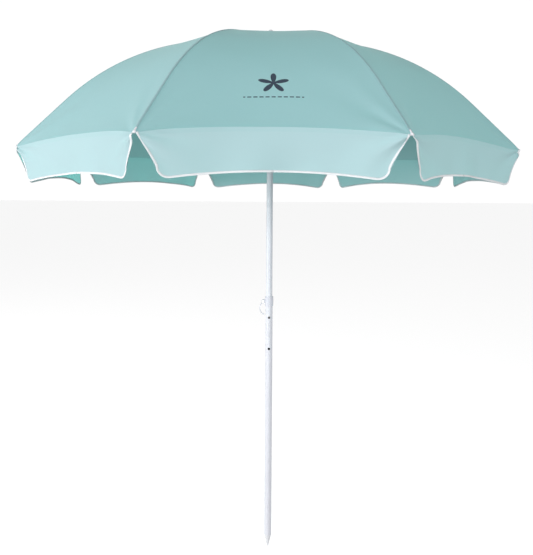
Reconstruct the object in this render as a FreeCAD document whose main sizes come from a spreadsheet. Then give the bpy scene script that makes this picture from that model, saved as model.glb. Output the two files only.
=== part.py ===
import FreeCAD, Part
import math
import os
import Sketcher

# Beach umbrella with a two-piece steel pole, eight folding ribs and a scalloped valance.
# Millimetres, +Z up, the origin at the point of the ground spike, the front towards -Y.

SIZES = {
    "spike_length": 48, "spike_point": 3, "spike_point_height": 2.4, "spike_nose": 1.8,
    "spike_nose_height": 0.6, "spike_plug": 42, "plug_radius": 12.6,
    "lower_radius": 14, "lower_bore": 12.8, "lower_top": 975,
    "seat_radius": 13.6, "seat_start": 951,
    "upper_radius": 12.5, "upper_bore": 11.3, "upper_bottom": 870, "upper_top": 1996,
    "hole_radius": 5, "hole_low": 788, "hole_high": 912,
    "button_radius": 4.8, "button_face": 11.8, "button_flange": 6.2, "button_back": 8.1,
    "flange_face": 9.3, "spring_radius": 3.2, "spring_bore": 2.5, "spring_end": 10.6,
    "collar_bottom": 957, "collar_top": 993, "collar_radius": 16.5, "collar_bore": 13.62,
    "collar_neck": 12.58, "collar_gap": 3, "ear_inside": 5.7, "ear_outside": 8.7,
    "ear_radius": 6, "pin_x": 23.5, "pin_height": 975, "pin_radius": 2, "pin_bore": 2.06,
    "pin_head": 3.6, "pin_head_length": 1.6, "lever_half": 5.4, "lever_head": 6,
    "blade_x": 10.4, "blade_height": 947.5, "blade_outer": 28.3, "blade_inner": 25.2,
    "blade_half": 4, "blade_first": 109, "blade_turn": 136,
    "hub_height": 2016, "pivot_radius": 30, "hub_bottom": 1968, "hub_neck": 18,
    "hub_shelf": 1998, "hub_radius": 34, "hub_chamfer": 2.5, "hub_post": 24, "hub_roof": 2020,
    "hub_bore": 12.56, "slot_width": 5.6, "slot_floor": 25, "ring_wire": 1.2, "ring_gap": 0.2,
    "cap_radius": 46, "cap_bottom": 2024.6, "cap_edge": 2, "cap_shoulder": 32,
    "cap_shoulder_rise": 6.5, "cap_rise": 10, "finial_neck": 9, "finial_waist": 7,
    "waist_rise": 3, "finial_radius": 13, "widest_rise": 9, "finial_crown": 11.7,
    "crown_drop": 6, "finial_button": 6.5, "button_drop": 1, "finial_top": 2058,
    "stud_radius": 2.4, "stud_bore": 2.5,
    "stud_bottom": 2002, "stud_top": 2044,
    "runner_bore": 12.6, "runner_sleeve": 18, "runner_bottom": 1624, "runner_flange": 36,
    "flange_half": 9, "flange_cone": 13.5, "runner_lip": 1.6,
    "rod_radius": 2.2, "rod_start": 32.6, "eye_radius": 3.2, "eye_bore": 1.5, "eye_half": 1.6,
    "slope_inner": 8.6, "slope_outer": 46.5, "bend_start": 270, "bend_radius": 860,
    "rod_end": 918,
    "tip_radius": 3.6, "tip_ball": 4.6, "tip_cover": 9, "tip_reach": 5, "tip_bore": 2.25,
    "joint_radius": 435, "joint_drop": 9, "bracket_half": 8, "bracket_side": 4.1,
    "bracket_depth": 13, "bracket_bore_half": 20, "fork_half": 2.2, "fork_roof": 4.6,
    "rivet_radius": 1.5, "rivet_half": 5, "stretcher_length": 470, "stretcher_radius": 1.7, "end_radius": 3.5,
    "end_half": 1.8, "end_bore": 1.56, "end_overlap": 3,
    "cloth_under": 2.5, "cloth_thick": 1.2, "cloth_inner": 35, "cloth_outer": 914,
    "cloth_gap": 0.15, "flap_lap": 1.5, "flap_drop": 114, "notch_top": 5.5,
    "notch_side": 52, "flap_round": 36,
}
RIBS = 8
HALF_GORE = 180.0 / RIBS
FIRST_RIB = -90 + HALF_GORE
# A slot cutter reaches this many times as far as the piece it cuts.
BEYOND = 1.2

doc = FreeCAD.newDocument("beach_umbrella")
sheet = doc.addObject("Spreadsheet::Sheet", "sizes")
for row, (alias, number) in enumerate(SIZES.items(), start=1):
    sheet.set(f"A{row}", alias)
    sheet.set(f"B{row}", str(number))
    sheet.setAlias(f"B{row}", alias)
doc.recompute()


class Length:
    """A size as a number and as the sheet expression that gives it."""

    def __init__(self, value, text):
        self.value = value
        self.text = text

    def joined(self, other, sign, value):
        return Length(value, f"({self.text} {sign} {other.text})")

    def __add__(self, other):
        return self.joined(other, "+", self.value + other.value)

    def __sub__(self, other):
        return self.joined(other, "-", self.value - other.value)

    def __neg__(self):
        return Length(-self.value, f"(-{self.text})")

    def __mul__(self, times):
        return Length(self.value * times, f"({self.text} * {times})")


def size(alias):
    return Length(float(SIZES[alias]), f"sizes.{alias}")


NOTHING = Length(0.0, "0")


def number(alias):
    """The size itself, read from the sheet."""
    return float(getattr(sheet, alias))


def bind(target, path, length):
    target.setExpression(path, length.text)


def plane_of(body, role):
    return next(p for p in body.Origin.OriginFeatures if p.Role == role)


def new_body(label):
    body = doc.addObject("PartDesign::Body", label)
    body.Label = label
    return body


def new_sketch(body, name, role):
    sketch = body.newObject("Sketcher::SketchObject", name)
    sketch.AttachmentSupport = [(plane_of(body, role), "")]
    sketch.MapMode = "FlatFace"
    return sketch


def pin_point(sketch, geometry, end, across, up):
    """Holds one point of a sketch at sizes from the sheet."""
    for kind, length, axis in (("DistanceX", across, -2), ("DistanceY", up, -1)):
        if abs(length.value) < 1e-9:
            sketch.addConstraint(Sketcher.Constraint("PointOnObject", geometry, end, axis))
            continue
        index = sketch.addConstraint(
            Sketcher.Constraint(kind, -1, 1, geometry, end, length.value)
        )
        bind(sketch, f"Constraints[{index}]", length)


def add_outline(sketch, corners):
    """A closed outline with straight sides, each corner held by the sheet."""
    points = [FreeCAD.Vector(across.value, up.value, 0) for across, up in corners]
    first = sketch.GeometryCount
    for start, end in zip(points, points[1:] + points[:1]):
        sketch.addGeometry(Part.LineSegment(start, end))
    count = len(points)
    for n in range(count):
        following = first + (n + 1) % count
        sketch.addConstraint(Sketcher.Constraint("Coincident", first + n, 2, following, 1))
    for n, (across, up) in enumerate(corners):
        pin_point(sketch, first + n, 1, across, up)


def add_circle(sketch, radius, across=NOTHING, up=NOTHING):
    centre = FreeCAD.Vector(across.value, up.value, 0)
    axis = FreeCAD.Vector(0, 0, 1)
    index = sketch.addGeometry(Part.Circle(centre, axis, radius.value))
    held = sketch.addConstraint(Sketcher.Constraint("Radius", index, radius.value))
    bind(sketch, f"Constraints[{held}]", radius)
    if across is NOTHING and up is NOTHING:
        sketch.addConstraint(Sketcher.Constraint("Coincident", index, 3, -1, 1))
        return
    pin_point(sketch, index, 3, across, up)


def turned(label, corners):
    """A round piece turned about the pole's axis from its half outline."""
    body = new_body(label)
    sketch = new_sketch(body, f"{label}_outline", "XZ_Plane")
    add_outline(sketch, corners)
    turning = body.newObject("PartDesign::Revolution", f"{label}_turning")
    turning.Profile = sketch
    turning.ReferenceAxis = (sketch, ["V_Axis"])
    turning.Angle = 360
    doc.recompute()
    return body


def cut_through(body, sketch, name, length, midplane=False):
    """A pocket that must take material away, whichever way its sketch faces."""
    before = body.Shape.Volume
    pocket = body.newObject("PartDesign::Pocket", name)
    pocket.Profile = sketch
    pocket.Midplane = midplane
    bind(pocket, "Length", length)
    doc.recompute()
    if before - body.Shape.Volume < 1:
        pocket.Reversed = True
        doc.recompute()
    if before - body.Shape.Volume < 1:
        raise RuntimeError(f"{name} cuts nothing")
    return pocket


def tube(label, bottom, top, outer, bore, holes):
    """A length of round tube with holes in its front wall."""
    body = new_body(label)
    section = new_sketch(body, f"{label}_section", "XY_Plane")
    add_circle(section, outer)
    add_circle(section, bore)
    wall = body.newObject("PartDesign::Pad", f"{label}_wall")
    wall.Profile = section
    bind(wall, "Length", top - bottom)
    bind(body, "Placement.Base.z", bottom)
    doc.recompute()
    drilling = new_sketch(body, f"{label}_drilling", "XZ_Plane")
    for height in holes:
        add_circle(drilling, size("hole_radius"), NOTHING, height - bottom)
    cut_through(body, drilling, f"{label}_holes", outer + outer)
    if body.Shape.isInside(FreeCAD.Vector(0, -(outer.value + bore.value) / 2, holes[0].value),
                           0.01, True):
        body.getObject(f"{label}_holes").Reversed = True
        doc.recompute()
    return body


def turned_down(body, label, outer, seat, length, depth):
    """Takes a tube's mouth down to a smaller radius, as a seat for a collar."""
    sketch = new_sketch(body, f"{label}_seat", "XY_Plane")
    add_circle(sketch, outer + outer)
    add_circle(sketch, seat)
    bind(sketch, "AttachmentOffset.Base.z", length)
    doc.recompute()
    cut_through(body, sketch, f"{label}_seat_cut", depth)
    return body


def radial_slots(body, label, floor, reach, height):
    """Eight radial slots, cut down through a round piece from above its top."""
    sketch = new_sketch(body, f"{label}_slot", "XY_Plane")
    half = size("slot_width") * 0.5
    corners = [(floor, -half), (reach, -half), (reach, half), (floor, half)]
    add_outline(sketch, corners)
    sketch.AttachmentOffset = FreeCAD.Placement(
        FreeCAD.Vector(0, 0, height.value), FreeCAD.Rotation(FreeCAD.Vector(0, 0, 1), FIRST_RIB)
    )
    bind(sketch, "AttachmentOffset.Base.z", height)
    doc.recompute()
    pocket = cut_through(body, sketch, f"{label}_slot_cut", reach * 2, midplane=True)
    pattern = body.newObject("PartDesign::PolarPattern", f"{label}_slots")
    pattern.Originals = [pocket]
    pattern.Axis = (sketch, ["N_Axis"])
    pattern.Angle = 360
    pattern.Occurrences = RIBS
    body.Tip = pattern
    # The pattern turns about the slot sketch's own normal, which is the pole's axis.
    doc.recompute()
    return body


def cylinder(name, radius, height, base=(NOTHING, NOTHING, NOTHING), lie=None):
    """A Part cylinder; lie turns it to run along -Y or along another direction."""
    solid = doc.addObject("Part::Cylinder", name)
    bind(solid, "Radius", radius)
    bind(solid, "Height", height)
    if lie is not None:
        turn = FreeCAD.Rotation(FreeCAD.Vector(0, 0, 1), FreeCAD.Vector(*lie))
        solid.Placement = FreeCAD.Placement(FreeCAD.Vector(), turn)
    for letter, length in zip("xyz", base):
        if length is not NOTHING:
            bind(solid, f"Placement.Base.{letter}", length)
    return solid


def box(name, corner, sides):
    solid = doc.addObject("Part::Box", name)
    for side, length in zip(("Length", "Width", "Height"), sides):
        bind(solid, side, length)
    for letter, length in zip("xyz", corner):
        if length is not NOTHING:
            bind(solid, f"Placement.Base.{letter}", length)
    return solid


def joined(name, solids):
    fusion = doc.addObject("Part::MultiFuse", name)
    fusion.Shapes = solids
    fusion.Refine = True
    return fusion


def less(name, base, tool):
    cut = doc.addObject("Part::Cut", name)
    cut.Base = base
    cut.Tool = tool
    cut.Refine = True
    return cut


finished = []


def finish(item, label=None):
    if label:
        item.Label = label
    finished.append(item)
    return item


# ---- Ground spike and the two poles ----

finish(turned("ground_spike", [
    (NOTHING, NOTHING),
    (size("spike_nose"), size("spike_nose_height")),
    (size("spike_point"), size("spike_point_height")),
    (size("lower_radius"), size("spike_length")),
    (size("plug_radius"), size("spike_length")),
    (size("plug_radius"), size("spike_length") + size("spike_plug")),
    (NOTHING, size("spike_length") + size("spike_plug")),
]))
finish(turned_down(
    tube("lower_pole", size("spike_length"), size("lower_top"), size("lower_radius"),
         size("lower_bore"), [size("hole_low"), size("hole_high")]),
    "lower_pole", size("lower_radius"), size("seat_radius"),
    size("lower_top") - size("spike_length"), size("lower_top") - size("seat_start"),
))
finish(tube("upper_pole", size("upper_bottom"), size("upper_top"), size("upper_radius"),
            size("upper_bore"), [size("hole_high")]))

# ---- Quick-release collar: a split ring with two ears, a pin and a cam lever ----

TOWARDS_Y = (0, 1, 0)
collar_height = size("collar_top") - size("collar_bottom")
ring = cylinder("collar_ring", size("collar_radius"), collar_height,
                (NOTHING, NOTHING, size("collar_bottom")))
ear_block = box("collar_ear_block",
                (-size("pin_x"), -size("ear_outside"), size("pin_height") - size("ear_radius")),
                (size("pin_x") - size("lower_bore"), size("ear_outside") * 2,
                 size("ear_radius") * 2))
ear_round = cylinder("collar_ear_round", size("ear_radius"), size("ear_outside") * 2,
                     (-size("pin_x"), -size("ear_outside"), size("pin_height")), TOWARDS_Y)
lever_room = box("collar_lever_room",
                 (-size("pin_x") * 2, -size("ear_inside"), size("collar_bottom") - size("pin_head")),
                 (size("pin_x") * 2 - size("collar_radius") - size("ring_gap"),
                  size("ear_inside") * 2, collar_height * 2))
split = box("collar_split",
            (-size("pin_x"), -size("collar_gap") * 0.5, size("collar_bottom") - size("pin_head")),
            (size("pin_x"), size("collar_gap"), collar_height * 2))
lower_seat = cylinder("collar_seat", size("collar_bore"),
                      size("lower_top") - size("collar_bottom") + size("pin_head"),
                      (NOTHING, NOTHING, size("collar_bottom") - size("pin_head")))
neck = cylinder("collar_neck_bore", size("collar_neck"), collar_height * 2,
                (NOTHING, NOTHING, size("collar_bottom")))
pin_hole = cylinder("collar_pin_hole", size("pin_bore"), size("ear_outside") * 4,
                    (-size("pin_x"), -size("ear_outside") * 2, size("pin_height")), TOWARDS_Y)
collar_solid = joined("collar_solid", [ring, ear_block, ear_round])
collar_room = joined("collar_room", [lever_room, split, lower_seat, neck, pin_hole])
finish(less("clamp_collar_cut", collar_solid, collar_room), "clamp_collar")

pin_shank = cylinder("clamp_pin_shank", size("pin_radius"), size("ear_outside") * 2,
                     (-size("pin_x"), -size("ear_outside"), size("pin_height")), TOWARDS_Y)
pin_heads = [
    cylinder(f"clamp_pin_head_{n}", size("pin_head"), size("pin_head_length"),
             (-size("pin_x"), start, size("pin_height")), TOWARDS_Y)
    for n, start in enumerate((size("ear_outside"),
                               -size("ear_outside") - size("pin_head_length")))
]
finish(joined("clamp_pin_solid", [pin_shank, *pin_heads]), "clamp_pin")

lever_head = cylinder("lever_head", size("lever_head"), size("lever_half") * 2,
                      (-size("pin_x"), -size("lever_half"), size("pin_height")), TOWARDS_Y)
blade_outer = cylinder("lever_blade_outer", size("blade_outer"), size("blade_half") * 2,
                       (-size("blade_x"), -size("blade_half"), size("blade_height")))
blade_inner = cylinder("lever_blade_inner", size("blade_inner"), size("blade_half") * 4,
                       (-size("blade_x"), -size("blade_half") * 2, size("blade_height")))
# The blade's arc starts above the pin and runs down on the far side from the pole.
for blade in (blade_outer, blade_inner):
    upright = FreeCAD.Rotation(FreeCAD.Vector(0, 0, 1), FreeCAD.Vector(*TOWARDS_Y))
    start_turn = FreeCAD.Rotation(FreeCAD.Vector(*TOWARDS_Y), SIZES["blade_first"])
    blade.Placement = FreeCAD.Placement(blade.Placement.Base, start_turn.multiply(upright))
bind(blade_outer, "Angle", size("blade_turn"))
blade_arc = less("lever_blade", blade_outer, blade_inner)
lever_bore = cylinder("lever_bore", size("pin_bore"), size("ear_outside") * 2,
                      (-size("pin_x"), -size("ear_outside"), size("pin_height")), TOWARDS_Y)
finish(less("clamp_lever_cut", joined("lever_solid", [lever_head, blade_arc]), lever_bore),
       "clamp_lever")

# ---- Height button, inside the pole behind the upper hole ----

button_shank = cylinder("button_shank", size("button_radius"),
                        size("button_face") - size("button_back"),
                        (NOTHING, -size("button_face"), size("hole_high")), TOWARDS_Y)
button_rim = cylinder("button_rim", size("button_flange"),
                      size("flange_face") - size("button_back"),
                      (NOTHING, -size("flange_face"), size("hole_high")), TOWARDS_Y)
finish(joined("height_button_solid", [button_shank, button_rim]), "height_button")
spring_length = size("spring_end") + size("button_back") - size("ring_gap")
spring_tube = cylinder("spring_tube", size("spring_radius"), spring_length,
                       (NOTHING, -size("button_back") + size("ring_gap"), size("hole_high")),
                       TOWARDS_Y)
spring_core = cylinder("spring_core", size("spring_bore"), spring_length * 2,
                       (NOTHING, -size("button_back") * 2, size("hole_high")), TOWARDS_Y)
finish(less("button_spring_cut", spring_tube, spring_core), "button_spring")

# ---- Hub, its wire ring, cap and finial ----

hub = turned("hub", [
    (size("hub_bore"), size("hub_bottom")),
    (size("hub_neck"), size("hub_bottom")),
    (size("hub_neck"), size("hub_shelf")),
    (size("hub_radius"), size("hub_shelf") + size("hub_chamfer")),
    (size("hub_radius"), size("hub_height") - size("ring_wire") - size("ring_gap")),
    (size("hub_post"), size("hub_height") - size("ring_wire") - size("ring_gap")),
    (size("hub_post"), size("hub_roof")),
    (size("stud_bore"), size("hub_roof")),
    (size("stud_bore"), size("upper_top") + size("ring_gap")),
    (size("hub_bore"), size("upper_top") + size("ring_gap")),
])
finish(radial_slots(hub, "hub", size("slot_floor"), size("hub_radius") * BEYOND,
                    size("hub_height")))

ring_wire = doc.addObject("Part::Torus", "hub_ring")
bind(ring_wire, "Radius1", size("pivot_radius"))
bind(ring_wire, "Radius2", size("ring_wire"))
bind(ring_wire, "Placement.Base.z", size("hub_height"))
finish(ring_wire, "hub_ring")

finish(turned("top_cap", [
    (size("stud_bore"), size("cap_bottom")),
    (size("cap_radius"), size("cap_bottom") - size("cap_edge")),
    (size("cap_radius"), size("cap_bottom")),
    (size("cap_shoulder"), size("cap_bottom") + size("cap_shoulder_rise")),
    (size("finial_neck"), size("cap_bottom") + size("cap_rise")),
    (size("stud_bore"), size("cap_bottom") + size("cap_rise")),
]))
knob_base = size("cap_bottom") + size("cap_rise") + size("cloth_gap")
finish(turned("finial", [
    (size("stud_bore"), knob_base),
    (size("finial_neck"), knob_base),
    (size("finial_waist"), knob_base + size("waist_rise")),
    (size("finial_radius"), knob_base + size("widest_rise")),
    (size("finial_crown"), size("finial_top") - size("crown_drop")),
    (size("finial_button"), size("finial_top") - size("button_drop")),
    (NOTHING, size("finial_top")),
    (NOTHING, size("stud_top") + size("ring_gap")),
    (size("stud_bore"), size("stud_top") + size("ring_gap")),
]))
finish(cylinder("finial_stud", size("stud_radius"), size("stud_top") - size("stud_bottom"),
                (NOTHING, NOTHING, size("stud_bottom"))), "finial_stud")


# ---- Where the rib, the stretcher and the runner meet ----

slope_inner = math.radians(number("slope_inner"))
slope_outer = math.radians(number("slope_outer"))
pivot_radius = number("pivot_radius")
hub_height = number("hub_height")
bend_radius = number("bend_radius")
bend_start = number("bend_start")


def rib_at(radius):
    """The rod's centre at a distance from the pole: its height and its downward slope."""
    flat_height = hub_height - (bend_start - pivot_radius) * math.tan(slope_inner)
    bend_end = bend_start + bend_radius * (math.sin(slope_outer) - math.sin(slope_inner))
    if radius < bend_start:
        return hub_height - (radius - pivot_radius) * math.tan(slope_inner), slope_inner
    if radius < bend_end:
        slope = math.asin(math.sin(slope_inner) + (radius - bend_start) / bend_radius)
        return flat_height - bend_radius * (math.cos(slope_inner) - math.cos(slope)), slope
    drop = bend_radius * (math.cos(slope_inner) - math.cos(slope_outer))
    return flat_height - drop - (radius - bend_end) * math.tan(slope_outer), slope_outer


def rib_point(radius, above=0.0):
    """A point of the rib's plane, above the rod's centre along the rod's normal."""
    height, slope = rib_at(radius)
    return FreeCAD.Vector(radius + above * math.sin(slope), 0, height + above * math.cos(slope))


def rib_edges(first, last, above=0.0):
    """The run of the rib as a straight, an arc and a straight, at an offset from the rod."""
    bend_end = bend_start + bend_radius * (math.sin(slope_outer) - math.sin(slope_inner))
    middle = (bend_start + bend_end) / 2
    straight_in = Part.LineSegment(rib_point(first, above), rib_point(bend_start, above))
    arc = Part.Arc(rib_point(bend_start, above), rib_point(middle, above),
                   rib_point(bend_end, above))
    straight_out = Part.LineSegment(rib_point(bend_end, above), rib_point(last, above))
    return [piece.toShape() for piece in (straight_in, arc, straight_out)]


joint_point = rib_point(number("joint_radius"), -number("joint_drop"))
joint_slope = rib_at(number("joint_radius"))[1]
span = joint_point.x - pivot_radius
runner_height = joint_point.z - math.sqrt(number("stretcher_length") ** 2 - span**2)
stretcher_rise = math.atan2(joint_point.z - runner_height, span)
SIZES["runner_pivot"] = round(runner_height, 4)
runner_row = len(SIZES) + 1
sheet.set(f"A{runner_row}", "runner_pivot")
sheet.set(f"B{runner_row}", str(SIZES["runner_pivot"]))
sheet.setAlias(f"B{runner_row}", "runner_pivot")
doc.recompute()

# ---- Runner ----

runner = turned("runner", [
    (size("runner_bore"), size("runner_bottom")),
    (size("runner_sleeve") + size("runner_lip"), size("runner_bottom")),
    (size("runner_sleeve"), size("runner_bottom") + size("flange_half")),
    (size("runner_sleeve"), size("runner_pivot") - size("flange_cone")),
    (size("runner_flange"), size("runner_pivot") - size("flange_half")),
    (size("runner_flange"), size("runner_pivot") + size("flange_half")),
    (size("runner_bore"), size("runner_pivot") + size("flange_half")),
])
finish(radial_slots(runner, "runner", size("slot_floor"), size("runner_flange") * BEYOND,
                    size("runner_pivot")))

# ---- One rib with its bracket, tip and stretcher, drawn in the plane of +X ----

path = doc.addObject("Part::Feature", "rib_path")
path.Shape = Part.Wire(rib_edges(number("rod_start"), number("rod_end")))
section = doc.addObject("Part::Circle", "rib_section")
bind(section, "Radius", size("rod_radius"))
rod_direction = FreeCAD.Vector(math.cos(slope_inner), 0, -math.sin(slope_inner))
section.Placement = FreeCAD.Placement(
    rib_point(number("rod_start")), FreeCAD.Rotation(FreeCAD.Vector(0, 0, 1), rod_direction)
)
rod = doc.addObject("Part::Sweep", "rib_rod")
rod.Sections = [section]
rod.Spine = (path, ["Edge1", "Edge2", "Edge3"])
rod.Solid = True
rod.Frenet = True


def across_disc(name, radius, half, centre):
    """A disc standing in the rib's plane, centred on it."""
    return cylinder(name, radius, half * 2, (centre[0], -half, centre[1]), TOWARDS_Y)


hub_pivot = (size("pivot_radius"), size("hub_height"))
eye = across_disc("rib_eye", size("eye_radius"), size("eye_half"), hub_pivot)
eye_hole = across_disc("rib_eye_hole", size("eye_bore"), size("eye_half") * 3, hub_pivot)
rib_pattern = less("rib_pattern", joined("rib_solid", [rod, eye]), eye_hole)


def along(name, radius, start, direction, length):
    """A cylinder from a computed point along a computed direction, sized by the sheet."""
    solid = doc.addObject("Part::Cylinder", name)
    bind(solid, "Radius", radius)
    bind(solid, "Height", length)
    solid.Placement = FreeCAD.Placement(
        start, FreeCAD.Rotation(FreeCAD.Vector(0, 0, 1), direction)
    )
    return solid


tip_direction = FreeCAD.Vector(math.cos(slope_outer), 0, -math.sin(slope_outer))
rod_tip = rib_point(number("rod_end"))
cap_start = rod_tip - tip_direction * number("tip_cover")
tip_tube = along("rib_tip_tube", size("tip_radius"), cap_start, tip_direction,
                 size("tip_cover") + size("tip_reach"))
tip_ball = doc.addObject("Part::Sphere", "rib_tip_ball")
bind(tip_ball, "Radius", size("tip_ball"))
tip_ball.Placement.Base = rod_tip + tip_direction * number("tip_reach")
tip_hole = along("rib_tip_hole", size("tip_bore"), cap_start - tip_direction, tip_direction,
                 size("tip_cover") + size("ring_wire"))
tip_pattern = less("rib_tip_pattern", joined("rib_tip_solid", [tip_tube, tip_ball]), tip_hole)

bracket_turn = FreeCAD.Rotation(FreeCAD.Vector(0, 1, 0), math.degrees(joint_slope))
bracket_spot = FreeCAD.Placement(rib_point(number("joint_radius")), bracket_turn)


def bracket_box(name, half_length, half_width, low, high):
    """A block in the bracket's own frame, whose X runs along the rod."""
    solid = doc.addObject("Part::Box", name)
    bind(solid, "Length", half_length * 2)
    bind(solid, "Width", half_width * 2)
    bind(solid, "Height", high - low)
    corner = FreeCAD.Vector(-half_length.value, -half_width.value, low.value)
    solid.Placement = bracket_spot.multiply(FreeCAD.Placement(corner, FreeCAD.Rotation()))
    return solid


bracket_block = bracket_box("bracket_block", size("bracket_half"), size("bracket_side"),
                            -size("bracket_depth"), NOTHING)
fork_room = bracket_box("bracket_fork", size("bracket_half") * 2, size("fork_half"),
                        -size("bracket_depth") * 2, -size("fork_roof"))
rod_room = along("bracket_rod_room", size("tip_bore"),
                 bracket_spot.multVec(FreeCAD.Vector(-number("bracket_bore_half"), 0, 0)),
                 bracket_turn.multVec(FreeCAD.Vector(1, 0, 0)), size("bracket_bore_half") * 2)
rivet = cylinder("bracket_rivet", size("rivet_radius"), size("rivet_half") * 2)
rivet.Placement = FreeCAD.Placement(
    joint_point - FreeCAD.Vector(0, number("rivet_half"), 0),
    FreeCAD.Rotation(FreeCAD.Vector(0, 0, 1), FreeCAD.Vector(*TOWARDS_Y)),
)
bracket_pattern = joined("rib_bracket_pattern", [
    less("bracket_cut", bracket_block, joined("bracket_room", [fork_room, rod_room])),
    rivet,
])

reach = FreeCAD.Vector(-math.cos(stretcher_rise), 0, -math.sin(stretcher_rise))
stretcher_start = joint_point + reach * number("end_overlap")
stretcher_rod = along("stretcher_rod", size("stretcher_radius"), stretcher_start, reach,
                      size("stretcher_length") - size("end_overlap") * 2)
stretcher_parts = [stretcher_rod]
stretcher_holes = []
for n, centre in enumerate((joint_point, joint_point + reach * number("stretcher_length"))):
    for pieces, radius, half in (
        (stretcher_parts, "end_radius", number("end_half")),
        (stretcher_holes, "end_bore", number("end_half") * 3),
    ):
        disc = doc.addObject("Part::Cylinder", f"stretcher_{radius}_{n}")
        bind(disc, "Radius", size(radius))
        disc.Height = half * 2
        disc.Placement = FreeCAD.Placement(
            centre - FreeCAD.Vector(0, half, 0),
            FreeCAD.Rotation(FreeCAD.Vector(0, 0, 1), FreeCAD.Vector(*TOWARDS_Y)),
        )
        pieces.append(disc)
stretcher_pattern = less("stretcher_pattern", joined("stretcher_solid", stretcher_parts),
                         joined("stretcher_bores", stretcher_holes))
doc.recompute()

# ---- One sector of the canopy, from mid-gore to mid-gore, with its two half flaps ----


def canopy_half():
    """Half a sector: the rib's outline carried along the straight line to the next rib."""
    half_angle = math.radians(HALF_GORE)
    towards = FreeCAD.Vector(-math.sin(half_angle), math.cos(half_angle), 0)
    outer, inner = number("cloth_outer"), number("cloth_inner")
    under = number("cloth_under")
    over = under + number("cloth_thick")
    lower_run = rib_edges(inner, outer, under)
    upper_run = rib_edges(inner, outer, over)
    ends = [
        Part.LineSegment(rib_point(inner, under), rib_point(inner, over)).toShape(),
        Part.LineSegment(rib_point(outer, under), rib_point(outer, over)).toShape(),
    ]
    outline = Part.Wire(Part.__sortEdges__(lower_run + upper_run + ends))
    skin = Part.Face(outline).extrude(towards * outer)
    # The flap hangs straight down from the hem, between the notch at the rib and mid-gore.
    hem = rib_point(outer, under)
    far = hem.x * math.sin(half_angle) + number("cloth_gap")
    drop, side, top = number("flap_drop"), number("notch_side"), number("notch_top")
    rounding = number("flap_round")
    lap = number("flap_lap")
    turn = FreeCAD.Rotation(FreeCAD.Vector(0, 0, 1), HALF_GORE)
    spot = FreeCAD.Placement(hem, turn)
    slant = rounding / math.sqrt(2)

    def at(across, down):
        return spot.multVec(FreeCAD.Vector(0, across, -down))

    corner_start = at(side - top, drop - rounding)
    corner_middle = at(side - top + rounding - slant, drop - rounding + slant)
    corner_end = at(side - top + rounding, drop)
    edges = [
        Part.LineSegment(at(top, -lap), corner_start),
        Part.Arc(corner_start, corner_middle, corner_end),
        Part.LineSegment(corner_end, at(far, drop)),
        Part.LineSegment(at(far, drop), at(far, -lap)),
        Part.LineSegment(at(far, -lap), at(top, -lap)),
    ]
    face = Part.Face(Part.Wire([edge.toShape() for edge in edges]))
    inward = turn.multVec(FreeCAD.Vector(-number("cloth_thick"), 0, 0))
    flap = face.extrude(inward)
    # The cut at mid-gore stops a hair short of the neighbouring sector.
    middle = FreeCAD.Placement(
        FreeCAD.Vector(*(towards * (-number("cloth_gap")))),
        FreeCAD.Rotation(FreeCAD.Vector(0, 0, 1), HALF_GORE),
    )
    keeper = Part.makeBox(outer * 2, outer * 2, hub_height * 2,
                          FreeCAD.Vector(0, -outer * 2, 0))
    keeper.Placement = middle
    return skin.fuse(flap).common(keeper)


half = canopy_half()
other_half = half.mirror(FreeCAD.Vector(), FreeCAD.Vector(0, 1, 0))
# The cloth stands clear of the plastic tip on the rib's end.
tip_room = Part.makeCylinder(
    number("tip_radius") + number("cloth_gap"), number("tip_cover") + number("tip_reach"),
    cap_start - tip_direction * number("cloth_gap"), tip_direction,
)
canopy_pattern = doc.addObject("Part::Feature", "canopy_pattern")
canopy_pattern.Shape = half.fuse(other_half).removeSplitter().cut(tip_room)

# ---- The eight ribs, round the pole ----

for n in range(RIBS):
    spot = FreeCAD.Placement(
        FreeCAD.Vector(), FreeCAD.Rotation(FreeCAD.Vector(0, 0, 1), FIRST_RIB + n * 2 * HALF_GORE)
    )
    for label, pattern in (
        ("rib", rib_pattern),
        ("rib_bracket", bracket_pattern),
        ("rib_tip", tip_pattern),
        ("stretcher", stretcher_pattern),
        ("canopy", canopy_pattern),
    ):
        copy = doc.addObject("Part::Compound", f"{label}_{n + 1}_placed")
        copy.Links = [pattern]
        copy.Placement = spot
        finish(copy, f"{label}_{n + 1}")

doc.recompute()

for item in doc.Objects:
    if "Invalid" in item.State or "Error" in item.State:
        raise RuntimeError(f"{item.Label} is in state {item.State}")

os.makedirs("parts", exist_ok=True)
for item in finished:
    shape = item.Shape
    if shape.isNull() or not shape.isValid() or shape.Volume < 1:
        raise RuntimeError(f"{item.Label} has no sound shape")
    shape.exportStep(f"parts/{item.Label}.step")
    extent = shape.BoundBox
    print(item.Label, round(shape.Volume), len(shape.Solids), [
        round(v, 1) for v in (extent.XMin, extent.XMax, extent.YMin, extent.YMax,
                              extent.ZMin, extent.ZMax)
    ])
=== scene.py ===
import math

import bmesh
import bpy
import numpy as np
from mathutils import Matrix, Vector, noise


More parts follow.
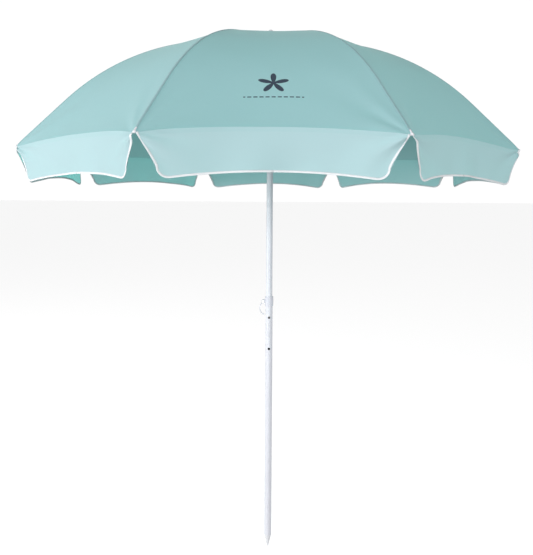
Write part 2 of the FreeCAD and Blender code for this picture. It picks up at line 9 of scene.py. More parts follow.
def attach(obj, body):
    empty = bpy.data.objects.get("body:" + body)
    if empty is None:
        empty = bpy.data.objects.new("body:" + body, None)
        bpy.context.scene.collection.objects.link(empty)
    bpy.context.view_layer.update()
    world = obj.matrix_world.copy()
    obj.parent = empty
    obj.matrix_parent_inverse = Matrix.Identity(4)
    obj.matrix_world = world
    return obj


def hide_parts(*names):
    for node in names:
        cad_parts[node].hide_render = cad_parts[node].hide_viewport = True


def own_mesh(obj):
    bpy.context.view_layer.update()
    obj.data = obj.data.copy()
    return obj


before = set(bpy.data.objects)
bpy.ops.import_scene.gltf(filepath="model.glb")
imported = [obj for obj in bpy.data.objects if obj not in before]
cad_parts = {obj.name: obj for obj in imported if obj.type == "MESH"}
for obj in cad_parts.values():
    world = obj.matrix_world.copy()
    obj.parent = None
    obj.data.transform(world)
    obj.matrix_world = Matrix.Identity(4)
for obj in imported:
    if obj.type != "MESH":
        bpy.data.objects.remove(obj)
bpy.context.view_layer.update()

# ---- The ribs, in metres, the same as the CAD's ----

RIBS = 8
GORE_ANGLE = 2 * math.pi / RIBS
FIRST_RIB = -math.pi / 2 + GORE_ANGLE / 2
FRONT_GORE = RIBS - 1
HUB_HEIGHT = 2.016
PIVOT_RADIUS = 0.030
SLOPE_INNER = math.radians(8.6)
SLOPE_OUTER = math.radians(46.5)
BEND_START = 0.270
BEND_RADIUS = 0.860
BEND_END = BEND_START + BEND_RADIUS * (math.sin(SLOPE_OUTER) - math.sin(SLOPE_INNER))

# ---- The cloth, in metres ----

# The cover runs from under the cap out to the rib tips, and dips a little over each tip.
CLOTH_ABOVE_ROD = 0.0031
CLOTH_INNER = 0.035
CLOTH_OUTER = 0.924
HALF_CHORD = CLOTH_OUTER * math.sin(GORE_ANGLE / 2)
TIP_DIP = 0.0022
TIP_DIP_RUN = 0.030

# Each valance flap is deepest beside its notches, which widen from the hem to the foot.
FLAP_DROP = 0.117
CORNER_DROP = 0.010
FLAP_ROUND = 0.036
NOTCH_TOP = 0.0055
NOTCH_BOTTOM = 0.052
NOTCH_CURVE = 0.2

# How the cloth hangs between the ribs.
SAG = 0.013
SAG_POWER = 1.4
HEM_RISE = 0.027

# Folds that fan out from each rib tip. The phases keep gores and sides from looking alike.
TIP_FOLD = 0.0042
TIP_FOLD_REACH = 0.10
TIP_FOLD_SPACING = 8.0
TIP_FOLD_FADE = 0.03
TIP_AHEAD = 0.004
GORE_PHASE = 2.4
SIDE_PHASE = 1.7

# Small puckers along each seam, and a slow and a fine unevenness all over.
PUCKER = 0.0006
PUCKER_REACH = 0.016
PUCKER_SPACING = 210.0
SLOW_UNEVEN = 0.0034
SLOW_SCALE = 3.1
FINE_UNEVEN = 0.0009
FINE_SCALE = 9.0
RIPPLE_RISE = 3

# The flaps wave towards their feet: waves across a gore, the shift from gore to gore, and a share.
FLAP_WAVE = 0.006
FLAP_WAVE_POWER = 1.3
FLAP_WAVES = ((2.6, 1.9, 0.55), (4.3, 3.1, 0.35))
FLAP_UNEVEN = 0.8
FLAP_UNEVEN_SCALE = (6.0, 5.3, 1.5)
FLAP_LEAN = 0.004
FLAP_SET_BACK = 0.0006
FLAP_SET_BACK_RISE = 8
FLAP_CORNER_CALM = 0.5

# Folds that fan out from each of a flap's upper corners.
FLAP_FOLD = 0.0092
FLAP_FOLD_REACH = 0.08
FLAP_FOLD_SPACING = 9
FLAP_FOLD_FADE = 0.02
FLAP_FOLD_PHASE = 1.3
FLAP_CORNER_REACH = 0.05
CORNER_AHEAD = 0.003

# How finely the sheets are divided, and how much closer their columns stand beside a rib.
HALF_COLUMNS = 22
ROWS = 84
COLUMN_POWER = 1.35
FLAP_COLUMNS = 56
FLAP_ROWS = 16
FLAP_COLUMN_POWER = 1.5
RIM_STEPS = 22

# A short step over a surface, in metres or as a share of its width, for finding its normal.
PROBE = 0.004

# The binding tape round a flap's edge, and the felled seam over a rib.
TAPE_WIDTH = 0.0052
TAPE_THICK = 0.0010
TAPE_OVER = 0.0008
TAPE_THINNING = 0.8
TAPE_ROUND_STEPS = 5
TAPE_UV_STEP = 0.002
SEAM_HALF = 0.0045
SEAM_DROOP = 0.0011
SEAM_EDGE = 0.0008
SEAM_LIFT = 0.0008
SEAM_START = 0.050
SEAM_SHORT = 0.002
SEAM_RUN = 1.03
SEAM_ROWS = 70


# ---- Where the rods and the cloth lie ----


def rib_at(radius):
    """The rod's centre at a distance from the pole: its height and its downward slope."""
    bend_height = HUB_HEIGHT - (BEND_START - PIVOT_RADIUS) * math.tan(SLOPE_INNER)
    if radius < BEND_START:
        return HUB_HEIGHT - (radius - PIVOT_RADIUS) * math.tan(SLOPE_INNER), SLOPE_INNER
    if radius < BEND_END:
        slope = math.asin(math.sin(SLOPE_INNER) + (radius - BEND_START) / BEND_RADIUS)
        return bend_height - BEND_RADIUS * (math.cos(SLOPE_INNER) - math.cos(slope)), slope
    drop = BEND_RADIUS * (math.cos(SLOPE_INNER) - math.cos(SLOPE_OUTER))
    return bend_height - drop - (radius - BEND_END) * math.tan(SLOPE_OUTER), SLOPE_OUTER


def run_at(radius):
    """The length of rib from the pivot out to a distance from the pole."""
    inner = (min(radius, BEND_START) - PIVOT_RADIUS) / math.cos(SLOPE_INNER)
    bent = BEND_RADIUS * (rib_at(min(radius, BEND_END))[1] - SLOPE_INNER)
    outer = max(0.0, radius - BEND_END) / math.cos(SLOPE_OUTER)
    return inner + max(0.0, bent) + outer


def rib_angle(number):
    return FIRST_RIB + number * GORE_ANGLE


def across_rib(number):
    """The level direction square to a rib."""
    angle = rib_angle(number)
    return Vector((-math.sin(angle), math.cos(angle), 0.0))


def upward(angle, slope):
    """The outward normal of a surface that faces an angle round the pole and slopes down."""
    return Vector((
        math.cos(angle) * math.sin(slope), math.sin(angle) * math.sin(slope), math.cos(slope)
    ))


def rib_point(number, radius):
    """The cloth's middle over a rib."""
    height, slope = rib_at(radius)
    to_end = max(0.0, 1 - (CLOTH_OUTER - radius) / TIP_DIP_RUN)
    above = CLOTH_ABOVE_ROD - TIP_DIP * to_end**2
    out = radius + above * math.sin(slope)
    angle = rib_angle(number)
    return Vector((out * math.cos(angle), out * math.sin(angle), height + above * math.cos(slope)))


def bow(across):
    """0 at the ribs and 1 at mid-gore."""
    return 4 * across * (1 - across)


def ripple(gore, across, radius, chord, point):
    """Small folds of the cloth: pulls that fan out from the rib tips, and a slow unevenness."""
    total = 0.0
    for from_rib, side in ((across, 1), (1 - across, 2)):
        beside = from_rib * chord
        up = CLOTH_OUTER - radius
        away = math.hypot(beside, up)
        turn = math.atan2(beside, up + TIP_AHEAD)
        phase = gore * GORE_PHASE + side * SIDE_PHASE
        fold = TIP_FOLD * math.exp(-away / TIP_FOLD_REACH) * min(1.0, away / TIP_FOLD_FADE)
        total += fold * math.sin(turn * TIP_FOLD_SPACING + phase)
        total += PUCKER * math.exp(-beside / PUCKER_REACH) * math.sin(radius * PUCKER_SPACING + phase)
    slow = noise.noise(point * SLOW_SCALE + Vector((gore, 0, 0)))
    fine = noise.noise(point * FINE_SCALE + Vector((0, gore * 3, 0)))
    return total + SLOW_UNEVEN * slow + FINE_UNEVEN * fine


def gore_point(gore, across, along):
    """A point of the cover between rib number gore and the next, across and along from 0 to 1."""
    gore = gore % RIBS
    reach = CLOTH_OUTER - HEM_RISE * bow(across)
    radius = CLOTH_INNER + (reach - CLOTH_INNER) * along
    left = rib_point(gore, radius)
    right = rib_point(gore + 1, radius)
    point = left.lerp(right, across)
    from_rib = min(1.0, bow(across) * RIPPLE_RISE)
    inward = SAG * bow(across) * (radius / CLOTH_OUTER) ** SAG_POWER
    inward += ripple(gore, across, radius, (right - left).length, point) * from_rib
    return point - upward(rib_angle(gore) + GORE_ANGLE / 2, rib_at(radius)[1]) * inward


def gore_normal(gore, across, along):
    low, high = max(0.0, across - PROBE), min(1.0, across + PROBE)
    near, far = max(0.0, along - PROBE), min(1.0, along + PROBE)
    side = gore_point(gore, high, along) - gore_point(gore, low, along)
    down = gore_point(gore, across, far) - gore_point(gore, across, near)
    return down.cross(side).normalized()


# ---- Meshes ----


def new_object(name, mesh):
    obj = bpy.data.objects.new(name, mesh)
    bpy.context.scene.collection.objects.link(obj)
    return obj


def mesh_object(name, points, faces, uvs):
    """A smooth object whose UV map holds each point's place on the flat cloth, in metres."""
    mesh = bpy.data.meshes.new(name)
    mesh.from_pydata([tuple(point) for point in points], [], faces)
    layer = mesh.uv_layers.new(name="flat")
    for loop in mesh.loops:
        layer.data[loop.index].uv = uvs[loop.vertex_index]
    mesh.polygons.foreach_set("use_smooth", [True] * len(mesh.polygons))
    mesh.update()
    return new_object(name, mesh)


def grid_object(name, points, uvs, columns, rows, extra):
    """A sheet from a grid of points, with extra values at each point as attributes."""
    faces = []
    for j in range(rows):
        for i in range(columns):
            first = j * (columns + 1) + i
            faces.append((first, first + 1, first + columns + 2, first + columns + 1))
    obj = mesh_object(name, points, faces, uvs)
    for label, values in extra.items():
        attribute = obj.data.attributes.new(label, "FLOAT", "POINT")
        attribute.data.foreach_set("value", np.array(values, np.float32))
    return obj


def face_along(obj, points, normals, columns, first=0):
    """Turns a grid's faces to the side of its normals, judged at one point, and sets the normals."""
    side = points[first + 1] - points[first]
    down = points[first + columns + 1] - points[first]
    if side.cross(down).dot(normals[first]) < 0:
        obj.data.flip_normals()
    obj.data.normals_split_custom_set_from_vertices([tuple(normal) for normal in normals])


def cover_sector(number):
    """The cover from mid-gore to mid-gore over one rib, as one sheet."""
    right_half = [(i / HALF_COLUMNS) ** COLUMN_POWER for i in range(HALF_COLUMNS + 1)]
    shares = [-share for share in reversed(right_half[1:])] + right_half
    columns = len(shares) - 1
    points, normals, uvs, beside, above_hem, front = [], [], [], [], [], []
    for j in range(ROWS + 1):
        along = j / ROWS
        radius = CLOTH_INNER + (CLOTH_OUTER - CLOTH_INNER) * along
        half_chord = radius * math.sin(GORE_ANGLE / 2)
        for share in shares:
            gore, across = (number, share / 2) if share >= 0 else (number - 1, 1 + share / 2)
            points.append(gore_point(gore, across, along))
            normal = gore_normal(gore, across, along)
            if share == 0:
                normal = (normal + gore_normal(number - 1, 1.0, along)).normalized()
            normals.append(normal)
            from_middle = (1 - abs(share)) * half_chord * (-1 if share >= 0 else 1)
            uvs.append((from_middle, run_at(radius)))
            beside.append(abs(share) * half_chord)
            above_hem.append(run_at(CLOTH_OUTER) - run_at(radius))
            front.append(1.0 if gore % RIBS == FRONT_GORE else 0.0)
    obj = grid_object(f"cover_{number + 1}", points, uvs, columns, ROWS,
                      {"beside_seam": beside, "above_hem": above_hem, "front_gore": front})
    # On the left of the rib, its points take their place on the left gore's cloth.
    layer = obj.data.uv_layers["flat"]
    for face in obj.data.polygons:
        if face.index % columns < HALF_COLUMNS:
            for corner in face.loop_indices:
                layer.data[corner].uv.x = abs(layer.data[corner].uv.x)
    face_along(obj, points, normals, columns)
    return obj


# ---- Valance flaps ----


def smooth(value):
    value = min(1.0, max(0.0, value))
    return value * value * (3 - 2 * value)


def flap_place(gore, across, depth):
    """A point of the valance below a gore's hem: across from 0 to 1, depth in metres."""
    gore = gore % RIBS
    top = gore_point(gore, across, 1.0)
    middle = rib_angle(gore) + GORE_ANGLE / 2
    outward = Vector((math.cos(middle), math.sin(middle), 0))
    low = depth / FLAP_DROP
    wave = sum(share * math.sin(across * 2 * math.pi * count + gore * shift)
               for count, shift, share in FLAP_WAVES)
    uneven_at = (place * scale for place, scale in zip((across, gore, low), FLAP_UNEVEN_SCALE))
    wave += noise.noise(Vector(uneven_at)) * FLAP_UNEVEN
    pull, corner = 0.0, 0.0
    for beside in (across * 2 * HALF_CHORD, (1 - across) * 2 * HALF_CHORD):
        corner += math.exp(-beside / FLAP_CORNER_REACH)
        away = math.hypot(beside, depth)
        turn = math.atan2(depth + CORNER_AHEAD, beside + CORNER_AHEAD)
        fan = math.sin(turn * FLAP_FOLD_SPACING + gore * FLAP_FOLD_PHASE)
        fade = min(1.0, depth / FLAP_FOLD_FADE)
        pull += FLAP_FOLD * math.exp(-away / FLAP_FOLD_REACH) * fan * fade
    wave_here = FLAP_WAVE * wave * low**FLAP_WAVE_POWER * (1 - FLAP_CORNER_CALM * corner)
    lean = wave_here + pull - FLAP_LEAN * low
    lean -= FLAP_SET_BACK * min(1.0, low * FLAP_SET_BACK_RISE)
    return top + outward * lean - Vector((0, 0, depth))


def flap_normal(gore, across, depth):
    side = flap_place(gore, min(1.0, across + PROBE), depth)
    side = side - flap_place(gore, max(0.0, across - PROBE), depth)
    down = flap_place(gore, across, depth + PROBE)
    down = down - flap_place(gore, across, max(0.0, depth - PROBE))
    return down.cross(side).normalized()


def notch_edge(fall):
    """How far from the rib the flap's side edge stands, from its top (0) to its foot (1)."""
    widening = (1 - NOTCH_CURVE) * fall + NOTCH_CURVE * smooth(fall)
    return NOTCH_TOP + (NOTCH_BOTTOM - NOTCH_TOP) * widening


def flap_depth(from_edge, share):
    """How deep the flap hangs at a distance from its lower corner, which is rounded."""
    full = FLAP_DROP + CORNER_DROP * (1 - share) ** 2
    if from_edge >= FLAP_ROUND:
        return full
    return full - FLAP_ROUND + math.sqrt(max(0.0, FLAP_ROUND**2 - (FLAP_ROUND - from_edge) ** 2))


def flap_point(number, side, share, fall):
    """A point of a half flap, share from its side edge to mid-gore, fall from hem to foot.

    Gives the point, its normal, its distance from the rib and its depth below the hem."""
    edge = notch_edge(fall)
    beside = edge + (HALF_CHORD - edge) * share
    depth = flap_depth((HALF_CHORD - notch_edge(1.0)) * share, share) * fall
    gore, across = number, beside / HALF_CHORD / 2
    if side < 0:
        gore, across = number - 1, 1 - across
    return flap_place(gore, across, depth), flap_normal(gore, across, depth), beside, depth


def flap_shares():
    return [(i / FLAP_COLUMNS) ** FLAP_COLUMN_POWER for i in range(FLAP_COLUMNS + 1)]


def flap_object(number, side, word):
    points, normals, uvs, beside_rib, below_hem = [], [], [], [], []
    for j in range(FLAP_ROWS + 1):
        for share in flap_shares():
            point, normal, beside, depth = flap_point(number, side, share, j / FLAP_ROWS)
            points.append(point)
            normals.append(normal)
            uvs.append((-side * (HALF_CHORD - beside), run_at(CLOTH_OUTER) + depth))
            beside_rib.append(beside)
            below_hem.append(depth)
    obj = grid_object(f"valance_{number + 1}_{word}", points, uvs, FLAP_COLUMNS, FLAP_ROWS,
                      {"beside_seam": beside_rib, "above_hem": below_hem})
    face_along(obj, points, normals, FLAP_COLUMNS, first=FLAP_COLUMNS * 3 // 4)
    return obj


# ---- Binding tape and seam ----


def tape(name, path, inward, outward):
    """A flat tape that wraps an edge: path runs along the edge, inward points into the cloth."""
    section = []
    for n in range(TAPE_ROUND_STEPS + 1):
        angle = math.pi / 2 + math.pi * n / TAPE_ROUND_STEPS
        section.append((TAPE_OVER * math.cos(angle), TAPE_THICK * math.sin(angle)))
    section.append((TAPE_WIDTH, -TAPE_THICK * TAPE_THINNING))
    section.append((TAPE_WIDTH, TAPE_THICK * TAPE_THINNING))
    count = len(section)
    points, faces, uvs = [], [], []
    run = 0.0
    for n, point in enumerate(path):
        if n:
            run += (point - path[n - 1]).length
        for k, (into, out) in enumerate(section):
            points.append(point + inward[n] * into + outward[n] * out)
            uvs.append((k * TAPE_UV_STEP, run))
    for n in range(len(path) - 1):
        for k in range(count):
            here = n * count + k
            beside = n * count + (k + 1) % count
            faces.append((here, beside, beside + count, here + count))
    last = (len(path) - 1) * count
    faces.append(tuple(range(count - 1, -1, -1)))
    faces.append(tuple(range(last, last + count)))
    obj = mesh_object(name, points, faces, uvs)
    turned = bmesh.new()
    turned.from_mesh(obj.data)
    bmesh.ops.recalc_face_normals(turned, faces=turned.faces)
    turned.to_mesh(obj.data)
    turned.free()
    return obj


def binding_object(number, side, word):
    """The white tape along a half flap's side edge, round its corner and along its foot."""
    rim = [(0.0, n / RIM_STEPS) for n in range(RIM_STEPS)]
    rim += [(share, 1.0) for share in flap_shares()]
    places = [flap_point(number, side, share, fall) for share, fall in rim]
    path = [place[0] for place in places]
    outward = [place[1] for place in places]
    inward = []
    for n, out in enumerate(outward):
        before = path[max(0, n - 1)]
        after = path[min(len(path) - 1, n + 1)]
        along = (after - before).normalized()
        inward.append(out.cross(along).normalized() * side)
    return tape(f"binding_{number + 1}_{word}", path, inward, outward)


def seam_object(number):
    """The felled seam over a rib, a narrow strip of doubled cloth that droops at both edges."""
    half = [(0.45, -SEAM_DROOP * 0.3), (0.9, -SEAM_DROOP), (1.0, -SEAM_DROOP - SEAM_EDGE)]
    section = [(-share, drop) for share, drop in reversed(half)] + [(0.0, 0.0)] + half
    points, faces, uvs = [], [], []
    for n in range(SEAM_ROWS + 1):
        radius = SEAM_START + (CLOTH_OUTER - SEAM_START - SEAM_SHORT) * n / SEAM_ROWS
        normal = upward(rib_angle(number), rib_at(radius)[1])
        middle = rib_point(number, radius)
        for share, drop in section:
            beside = SEAM_HALF * share
            points.append(middle + across_rib(number) * beside + normal * (drop + SEAM_LIFT))
            uvs.append((beside, n / SEAM_ROWS * SEAM_RUN))
    count = len(section)
    for n in range(SEAM_ROWS):
        for k in range(count - 1):
            here = n * count + k
            faces.append((here, here + count, here + count + 1, here + 1))
    return mesh_object(f"seam_{number + 1}", points, faces, uvs)


# ---- Materials ----


def rgb(red, green, blue):
    return (red, green, blue, 1.0)


def grey(level):
    return rgb(level, level, level)


class Nodes:
    """Builds a node material with little writing."""

    def __init__(self, name):
        self.material = bpy.data.materials.new(name)
        self.material.use_nodes = True
        self.tree = self.material.node_tree
        self.tree.nodes.clear()
        self.output = self.tree.nodes.new("ShaderNodeOutputMaterial")

    def add(self, kind, inputs=None, **settings):
        node = self.tree.nodes.new(kind)
        for key, value in settings.items():
            setattr(node, key, value)
        for key, value in (inputs or {}).items():
            self.put(node.inputs[key], value)
        return node

    def put(self, socket, value):
        if isinstance(value, bpy.types.NodeSocket):
            self.tree.links.new(value, socket)
        else:
            socket.default_value = value

    def maths(self, operation, *values):
        node = self.tree.nodes.new("ShaderNodeMath")
        node.operation = operation
        for socket, value in zip(node.inputs, values):
            self.put(socket, value)
        return node.outputs[0]

    def mix(self, share, first, second):
        node = self.tree.nodes.new("ShaderNodeMix")
        node.data_type = "RGBA"
        colours = [socket for socket in node.inputs if socket.type == "RGBA"]
        self.put(node.inputs[0], share)
        self.put(colours[0], first)
        self.put(colours[1], second)
        return next(socket for socket in node.outputs if socket.type == "RGBA")

    def clouds(self, scale, detail, vector=None, rough=0.5):
        node = self.add("ShaderNodeTexNoise",
                        {"Scale": scale, "Detail": detail, "Roughness": rough})
        if vector is not None:
            self.put(node.inputs["Vector"], vector)
        return node.outputs["Fac"]

    def bump(self, strength, distance, height, normal=None):
        node = self.add("ShaderNodeBump",
                        {"Strength": strength, "Distance": distance, "Height": height})
        if normal is not None:
            self.put(node.inputs["Normal"], normal)
        return node.outputs[0]

    def split(self, vector):
        return self.add("ShaderNodeSeparateXYZ", {0: vector}).outputs

    def flat(self):
        """A point's place on the flat cloth."""
        return self.add("ShaderNodeUVMap", uv_map="flat").outputs[0]

    def place(self):
        """A point's place on the object."""
        return self.add("ShaderNodeTexCoord").outputs["Object"]

    def attribute(self, name):
        return self.add("ShaderNodeAttribute", attribute_name=name).outputs["Fac"]

    def weave(self, pitch, vector):
        """Crossed threads, 0 in the gaps and 1 on the threads, from flat metres."""
        parts = self.split(vector)
        waves = [self.maths("SINE", self.maths("MULTIPLY", parts[n], 2 * math.pi / pitch))
                 for n in (0, 1)]
        return self.maths("MULTIPLY_ADD", self.maths("MULTIPLY", *waves), 0.5, 0.5)

    def finish(self, shader):
        self.put(self.output.inputs[0], shader.outputs[0])
        return self.material


TEAL = rgb(0.375, 0.520, 0.572)
TEAL_DEEP = rgb(0.340, 0.477, 0.523)
# The valance's teal is a paler, less saturated copy of the cover's teal: painted highlight for the
# brighter light on the upright flaps.
TEAL_PAINTED_LIT = rgb(0.490, 0.612, 0.662)
TEAL_PAINTED_LIT_DEEP = rgb(0.450, 0.578, 0.628)
TEAL_DOUBLED = rgb(0.26, 0.50, 0.52)
TEAL_THREAD = rgb(0.62, 0.80, 0.81)
TEAL_THROUGH = rgb(0.13, 0.59, 0.53)
LIGHT_THROUGH = 0.34
CLOTH_PITCH = 0.0011
SEAM_ALLOWANCE = 0.010
HEM_ALLOWANCE = 0.012

TAPE_WHITE = rgb(0.66, 0.69, 0.71)
TAPE_SOILED = rgb(0.60, 0.63, 0.65)
TAPE_RIB_PITCH = 0.0012

ENAMEL = rgb(0.60, 0.61, 0.66)
ENAMEL_WORN = rgb(0.53, 0.54, 0.59)
# The tube's inside is painted near-black, painted shade for the unlit bore.
BORE_PAINTED_SHADE = rgb(0.012, 0.012, 0.014)
LOWER_POLE_MIDWALL = 0.0134
UPPER_POLE_MIDWALL = 0.0119
STREAK_SCALE = (400.0, 400.0, 6.0)
GRAIN_SCALE = 1080.0

# The print: a starfish and a rule under it, both placed by their run along the cloth.
INK = rgb(0.020, 0.024, 0.050)
INK_COVER = 0.94
STAR_RUN = 0.852
STAR_RADIUS = 0.046
STAR_ARMS = 5.0
STAR_ARM_SHARE = 0.42
RULE_RUN = 0.915
RULE_HALF_LENGTH = 0.085
RULE_HALF_WIDTH = 0.0023
DASH_TURN = 370.0
DASH_GAP = -0.55


def starfish(n, flat):
    """A plain starfish over a dashed rule, printed on the front gore: 1 on the ink."""
    parts = n.split(flat)
    across, run = parts[0], parts[1]
    up = n.maths("SUBTRACT", STAR_RUN, run)
    squares = n.maths("ADD", n.maths("MULTIPLY", across, across), n.maths("MULTIPLY", up, up))
    length = n.maths("SQRT", squares)
    turn = n.maths("ARCTAN2", across, up)
    arms = n.maths("COSINE", n.maths("MULTIPLY", turn, STAR_ARMS))
    limit = n.maths("MULTIPLY_ADD", arms, STAR_RADIUS * STAR_ARM_SHARE,
                    STAR_RADIUS * (1 - STAR_ARM_SHARE))
    star = n.maths("LESS_THAN", length, limit)
    off_rule = n.maths("ABSOLUTE", n.maths("SUBTRACT", run, RULE_RUN))
    thin = n.maths("LESS_THAN", off_rule, RULE_HALF_WIDTH)
    short = n.maths("LESS_THAN", n.maths("ABSOLUTE", across), RULE_HALF_LENGTH)
    wave = n.maths("COSINE", n.maths("MULTIPLY", across, DASH_TURN))
    dashes = n.maths("GREATER_THAN", wave, DASH_GAP)
    rule = n.maths("MULTIPLY", n.maths("MULTIPLY", thin, short), dashes)
    on_front = n.maths("GREATER_THAN", n.attribute("front_gore"), 0.5)
    return n.maths("MULTIPLY", n.maths("MAXIMUM", star, rule), on_front)


def cloth_material(name, light, deep, printed=False):
    """Coated polyester: woven, a little uneven, letting some light through."""
    n = Nodes(name)
    flat = n.flat()
    place = n.place()
    weave = n.weave(CLOTH_PITCH, flat)
    uneven = n.clouds(3.0, detail=4.0, vector=place)
    slub = n.clouds(260.0, detail=2.0, vector=flat)
    tone = n.maths("MULTIPLY_ADD", uneven, 0.5, n.maths("MULTIPLY", slub, 0.3))
    colour = n.mix(tone, light, deep)
    colour = n.mix(n.maths("MULTIPLY", weave, 0.10), colour, TEAL_THREAD)
    # The doubled cloth beside a rib's seam and along the hem is a shade darker.
    by_seam = n.maths("LESS_THAN", n.attribute("beside_seam"), SEAM_ALLOWANCE)
    by_hem = n.maths("LESS_THAN", n.attribute("above_hem"), HEM_ALLOWANCE)
    doubled = n.maths("MAXIMUM", by_seam, by_hem)
    colour = n.mix(n.maths("MULTIPLY", doubled, 0.10), colour, TEAL_DOUBLED)
    through = TEAL_THROUGH
    if printed:
        ink = n.maths("MULTIPLY", starfish(n, flat), INK_COVER)
        colour = n.mix(ink, colour, INK)
        through = n.mix(ink, through, INK)
    height = n.maths("MULTIPLY_ADD", weave, 0.35, n.maths("MULTIPLY", slub, 0.4))
    threads = n.bump(strength=0.12, distance=0.0006, height=height)
    wrinkles = n.clouds(16.0, detail=5.0, vector=place, rough=0.55)
    folds = n.bump(strength=0.16, distance=0.006, height=wrinkles, normal=threads)
    surface = n.add("ShaderNodeBsdfPrincipled",
                    {"Base Color": colour, "Roughness": 0.72, "Normal": folds})
    surface.inputs["Sheen Weight"].default_value = 0.18
    surface.inputs["Sheen Roughness"].default_value = 0.45
    surface.inputs["Specular IOR Level"].default_value = 0.28
    glow = n.add("ShaderNodeBsdfTranslucent", {"Color": through, "Normal": folds})
    return n.finish(n.add("ShaderNodeMixShader",
                          {0: LIGHT_THROUGH, 1: surface.outputs[0], 2: glow.outputs[0]}))


def tape_material():
    """White polyester binding, ribbed across."""
    n = Nodes("binding_tape")
    ribs = n.maths("SINE", n.maths("MULTIPLY", n.split(n.flat())[1], 2 * math.pi / TAPE_RIB_PITCH))
    colour = n.mix(n.clouds(40.0, detail=4.0), TAPE_WHITE, TAPE_SOILED)
    ribbed = n.bump(strength=0.25, distance=0.0003, height=ribs)
    surface = n.add("ShaderNodeBsdfPrincipled",
                    {"Base Color": colour, "Roughness": 0.7, "Normal": ribbed})
    surface.inputs["Sheen Weight"].default_value = 0.15
    return n.finish(surface)


def inside_bore(n, place, radius):
    """1 nearer than radius to the pole's axis, and 0 outside."""
    x, y, _ = n.split(place)
    square = n.maths("MULTIPLY_ADD", y, y, n.maths("MULTIPLY", x, x))
    return n.maths("LESS_THAN", square, radius * radius)


def paint_material(name, base, worn, roughness, metal=0.0, coat=0.2, streak=0.0, bore=0.0):
    """A hard surface with uneven gloss, slight wear and a fine bump."""
    n = Nodes(name)
    place = n.place()
    patches = n.clouds(14.0, detail=5.0, vector=place)
    fine = n.clouds(GRAIN_SCALE, detail=3.0, vector=place)
    wear = n.maths("MULTIPLY", n.maths("POWER", patches, 3.0), 1.6)
    colour = n.mix(n.maths("MINIMUM", wear, 1.0), base, worn)
    if streak:
        stretched = n.add("ShaderNodeMapping", {0: place, "Scale": STREAK_SCALE}).outputs[0]
        lines = n.clouds(1.0, detail=2.0, vector=stretched)
        colour = n.mix(n.maths("MULTIPLY", lines, streak), colour, worn)
    if bore:
        # The inside of a tube is nearer its axis than the middle of its wall; it is painted
        # near-black, painted shade for the unlit bore.
        colour = n.mix(inside_bore(n, place, bore), colour, BORE_PAINTED_SHADE)
    rough = n.maths("MULTIPLY_ADD", patches, 0.16, roughness - 0.08)
    grained = n.bump(strength=0.10, distance=0.0003, height=fine)
    surface = n.add("ShaderNodeBsdfPrincipled",
                    {"Base Color": colour, "Roughness": rough, "Normal": grained})
    surface.inputs["Metallic"].default_value = metal
    surface.inputs["Coat Weight"].default_value = coat
    surface.inputs["Coat Roughness"].default_value = 0.25
    return n.finish(surface)


COVER = cloth_material("cover_cloth", TEAL, TEAL_DEEP, printed=True)
# The valance cloth takes the paler teal, painted highlight for the light on its upright flaps.
VALANCE_PAINTED_LIT = cloth_material("valance_cloth_painted_lit", TEAL_PAINTED_LIT, TEAL_PAINTED_LIT_DEEP)
TAPE = tape_material()
LOWER_POLE = paint_material("lower_pole_enamel", ENAMEL, ENAMEL_WORN, 0.42, coat=0.15,
                            streak=0.12, bore=LOWER_POLE_MIDWALL)
UPPER_POLE = paint_material("upper_pole_enamel", ENAMEL, ENAMEL_WORN, 0.42, coat=0.15,
                            streak=0.12, bore=UPPER_POLE_MIDWALL)
WHITE = paint_material("white_plastic", rgb(0.66, 0.67, 0.70), rgb(0.56, 0.57, 0.60), 0.46,
                       coat=0.1)
CLAMP = paint_material("clamp_plastic", rgb(0.57, 0.58, 0.64), rgb(0.48, 0.49, 0.54), 0.5,
                       coat=0.05)
STEEL = paint_material("zinc_steel", rgb(0.62, 0.63, 0.65), rgb(0.42, 0.43, 0.45), 0.36,
                       metal=1.0, coat=0.0, streak=0.3)
WIRE = paint_material("rib_coating", rgb(0.78, 0.80, 0.81), rgb(0.58, 0.60, 0.62), 0.38,
                      metal=0.15)
DARK = paint_material("dark_plastic", rgb(0.012, 0.012, 0.014), rgb(0.03, 0.03, 0.034), 0.4)

# The first row with a word that starts a node's name gives its material. The canopy's nodes get
# none, because the cover replaces them.
NODE_LOOKS = (
    (("canopy_",), None),
    (("rib_bracket", "clamp_pin", "hub_ring", "finial_stud", "button_spring"), STEEL),
    (("rib_tip",), WHITE),
    (("rib_", "stretcher_"), WIRE),
    (("lower_pole",), LOWER_POLE),
    (("upper_pole",), UPPER_POLE),
    (("clamp_",), CLAMP),
    (("height_button",), DARK),
    (("",), WHITE),
)

for node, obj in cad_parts.items():
    look = next(look for starts, look in NODE_LOOKS if node.startswith(starts))
    if look:
        obj.data.materials.clear()
        obj.data.materials.append(look)

# ---- The cover and its valance, one set for each rib ----

for number in range(RIBS):
    body = f"rib_{number + 1}"
    cover = cover_sector(number)
    seam = seam_object(number)
    flaps, tapes = [], []
    for side, word in ((1, "right"), (-1, "left")):
        flaps.append(flap_object(number, side, word))
        tapes.append(binding_object(number, side, word))
    for pieces, cloth in (([cover, seam], COVER), (flaps, VALANCE_PAINTED_LIT), (tapes, TAPE)):
        for piece in pieces:
            piece.data.materials.append(cloth)
            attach(piece, body)
            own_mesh(piece)
    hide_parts(f"canopy_{number + 1}")

# ---- Floor, light and camera ----

FLOOR_HALF = 120.0
FLOOR_GAP = 0.0005
FLOOR_GREY = 0.80
FLOOR_LIFT = 0.62
# The studio's walls are white and its ceiling is darker: heights from 0 below to 1 above.
STUDIO_LEVELS = ((0.0, 0.30), (0.46, 0.34), (0.48, 1.0), (0.68, 1.0), (0.81, 0.22), (1.0, 0.12))
STUDIO_STRENGTH = 1.02
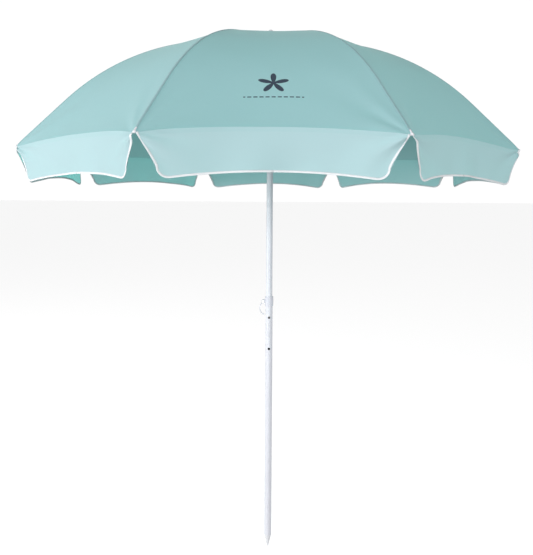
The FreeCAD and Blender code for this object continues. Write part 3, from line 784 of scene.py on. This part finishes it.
# The sensor and the lens are in millimetres, the shifts in shares of the picture's longer side.
SENSOR = 36.0
LENS = 38.0108
SHIFT_X = -0.027027
SHIFT_Y = -0.148468
CLIP_END = 400
CAMERA_PLACE = (-0.0286, -2.339, 1.3986)
CAMERA_YAW = math.radians(-1.85)
CAMERA_ROLL = math.radians(0.34)


def pale_floor():
    corners = [(-FLOOR_HALF, -FLOOR_HALF, 0), (FLOOR_HALF, -FLOOR_HALF, 0),
               (FLOOR_HALF, FLOOR_HALF, 0), (-FLOOR_HALF, FLOOR_HALF, 0)]
    mesh = bpy.data.meshes.new("floor")
    mesh.from_pydata(corners, [], [(0, 1, 2, 3)])
    floor = new_object("floor", mesh)
    floor.location.z = -FLOOR_GAP
    floor.visible_diffuse = False
    n = Nodes("pale_floor")
    matt = n.add("ShaderNodeBsdfDiffuse", {"Color": grey(FLOOR_GREY)})
    lift = n.add("ShaderNodeEmission", {"Color": grey(1.0), "Strength": FLOOR_LIFT})
    both = n.add("ShaderNodeAddShader", {0: matt.outputs[0], 1: lift.outputs[0]})
    mesh.materials.append(n.finish(both))
    return floor


def studio_world():
    world = bpy.data.worlds.new("studio")
    world.use_nodes = True
    tree = world.node_tree
    direction = tree.nodes.new("ShaderNodeTexCoord")
    split = tree.nodes.new("ShaderNodeSeparateXYZ")
    halved = tree.nodes.new("ShaderNodeMath")
    halved.operation = "MULTIPLY_ADD"
    halved.inputs[1].default_value = 0.5
    halved.inputs[2].default_value = 0.5
    ramp = tree.nodes.new("ShaderNodeValToRGB")
    tree.links.new(direction.outputs["Generated"], split.inputs[0])
    tree.links.new(split.outputs[2], halved.inputs[0])
    tree.links.new(halved.outputs[0], ramp.inputs[0])
    tree.links.new(ramp.outputs[0], tree.nodes["Background"].inputs[0])
    stops = ramp.color_ramp.elements
    stops[0].color = grey(STUDIO_LEVELS[0][1])
    stops[1].color = grey(STUDIO_LEVELS[-1][1])
    for height, level in STUDIO_LEVELS[1:-1]:
        stops.new(height).color = grey(level)
    tree.nodes["Background"].inputs[1].default_value = STUDIO_STRENGTH
    return world


def area_light(name, place, aim, size, power):
    data = bpy.data.lights.new(name, "AREA")
    data.size = size
    data.energy = power
    lamp = new_object(name, data)
    lamp.location = place
    lamp.rotation_euler = (Vector(aim) - Vector(place)).to_track_quat("-Z", "Y").to_euler()


def studio_camera():
    data = bpy.data.cameras.new("camera")
    data.sensor_width = SENSOR
    data.lens = LENS
    data.shift_x = SHIFT_X
    data.shift_y = SHIFT_Y
    data.clip_end = CLIP_END
    camera = new_object("camera", data)
    camera.matrix_world = (
        Matrix.Translation(CAMERA_PLACE)
        @ Matrix.Rotation(CAMERA_YAW, 4, "Z")
        @ Matrix.Rotation(math.radians(90), 4, "X")
        @ Matrix.Rotation(CAMERA_ROLL, 4, "Z")
    )
    return camera


pale_floor()
bpy.context.scene.world = studio_world()
area_light("key", place=(-5.2, -1.9, 1.7), aim=(0, 0, 1.6), size=2.4, power=235)
area_light("front", place=(0.6, -5.6, 1.3), aim=(0, 0, 1.5), size=3.0, power=190)
bpy.context.scene.camera = studio_camera()
bpy.context.scene.view_settings.view_transform = "Standard"
bpy.context.scene.view_settings.look = "None"
